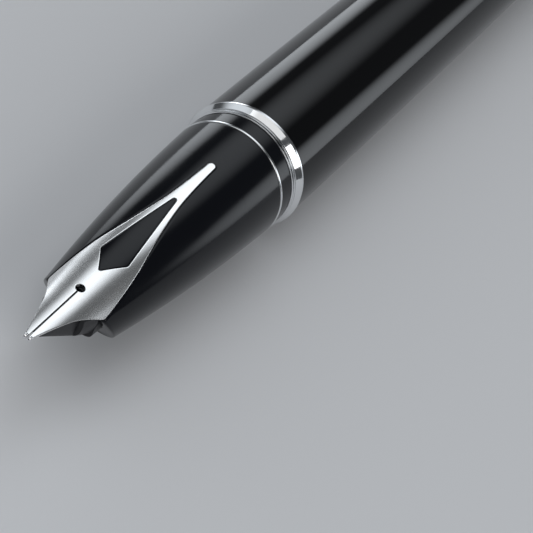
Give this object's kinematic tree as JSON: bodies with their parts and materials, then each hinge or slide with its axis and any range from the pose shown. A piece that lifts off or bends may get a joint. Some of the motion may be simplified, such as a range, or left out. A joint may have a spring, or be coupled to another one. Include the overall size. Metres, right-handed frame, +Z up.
{
  "type": "fountain pen",
  "caption": "Slim fountain pen without a cap: nib let into a black tapered grip, bright trim rings, screw-on barrel and a piston converter inside.",
  "frame": {"origin": "under the middle of the pen's length and width, level with the underside of its widest ring", "axes": "+X runs along the pen from the nib's point to the tail, +Z is up, out of the nib's upper face, and +Y is across"},
  "size_m": [0.1258, 0.0132, 0.0131],
  "materials": {
    "black_resin": "deep black, polished to a mirror gloss",
    "nib_steel": "bright plated steel with a very fine grain along the nib",
    "tipping": "ground hard alloy",
    "feed_plastic": "satin black moulding",
    "bright_trim": "polished bright plating",
    "brass": "turned, unpolished",
    "steel": "drawn stainless",
    "rubber": "matt black",
    "clear_plastic": "clear polished moulding",
    "dark_plastic": "fine satin moulding"
  },
  "bodies": {
    "grip": {"grip_section": "black_resin", "nib": "nib_steel", "nib_tipping_left": "tipping", "nib_tipping_right": "tipping", "feed": "feed_plastic", "feed_housing": "feed_plastic", "inlet_pipe": "steel", "threaded_coupling": "brass", "section_thin_ring": "bright_trim", "section_band": "black_resin"},
    "seal": {"coupling_o_ring": "rubber"},
    "trim": {"double_trim_ring": "bright_trim"},
    "barrel": {"barrel_mouth_ring": "bright_trim", "barrel_thread_insert": "brass", "barrel_tube": "black_resin", "tail_plug": "brass", "tail_ring": "bright_trim", "tail_cap": "black_resin"},
    "converter": {"converter_mouth": "dark_plastic", "converter_mouth_seal": "rubber", "converter_reservoir": "clear_plastic", "converter_sleeve": "bright_trim", "converter_rod_guide": "dark_plastic", "converter_retainer": "dark_plastic"},
    "knob": {"converter_spindle": "dark_plastic", "converter_knob": "dark_plastic", "converter_knob_plug": "bright_trim"},
    "piston": {"converter_piston_seal": "rubber", "converter_piston_rod": "dark_plastic"},
    "ball": {"agitator_ball": "steel"}
  },
  "joints": [
    {"name": "barrel_turn", "type": "hinge", "parent": "grip", "child": "seal", "pos_m": [0, 0, 0.00657], "axis": [1, 0, 0], "range_deg": [0, 1080.01]},
    {"name": "barrel_travel", "type": "slide", "parent": "seal", "child": "trim", "axis": [1, 0, 0], "range_m": [0, 0.0033]},
    {"name": "barrel_withdraw", "type": "slide", "parent": "trim", "child": "barrel", "axis": [1, 0, 0], "range_m": [0, 0.072]},
    {"name": "converter_pull", "type": "slide", "parent": "grip", "child": "converter", "axis": [1, 0, 0], "range_m": [0, 0.015]},
    {"name": "knob_turn", "type": "hinge", "parent": "converter", "child": "knob", "pos_m": [0, 0, 0.00657], "axis": [1, 0, 0], "range_deg": [0, 2160.01]},
    {"name": "piston_travel", "type": "slide", "parent": "converter", "child": "piston", "axis": [-1, 0, 0], "range_m": [0, 0.018]},
    {"name": "ball_roll", "type": "slide", "parent": "converter", "child": "ball", "axis": [1, 0, 0], "range_m": [0, 0.0016]}
  ],
  "couplings": [
    {"joint": "barrel_turn", "follows": "barrel_travel", "rad_per_m": 5712},
    {"joint": "knob_turn", "follows": "piston_travel", "rad_per_m": 2094.4}
  ]
}
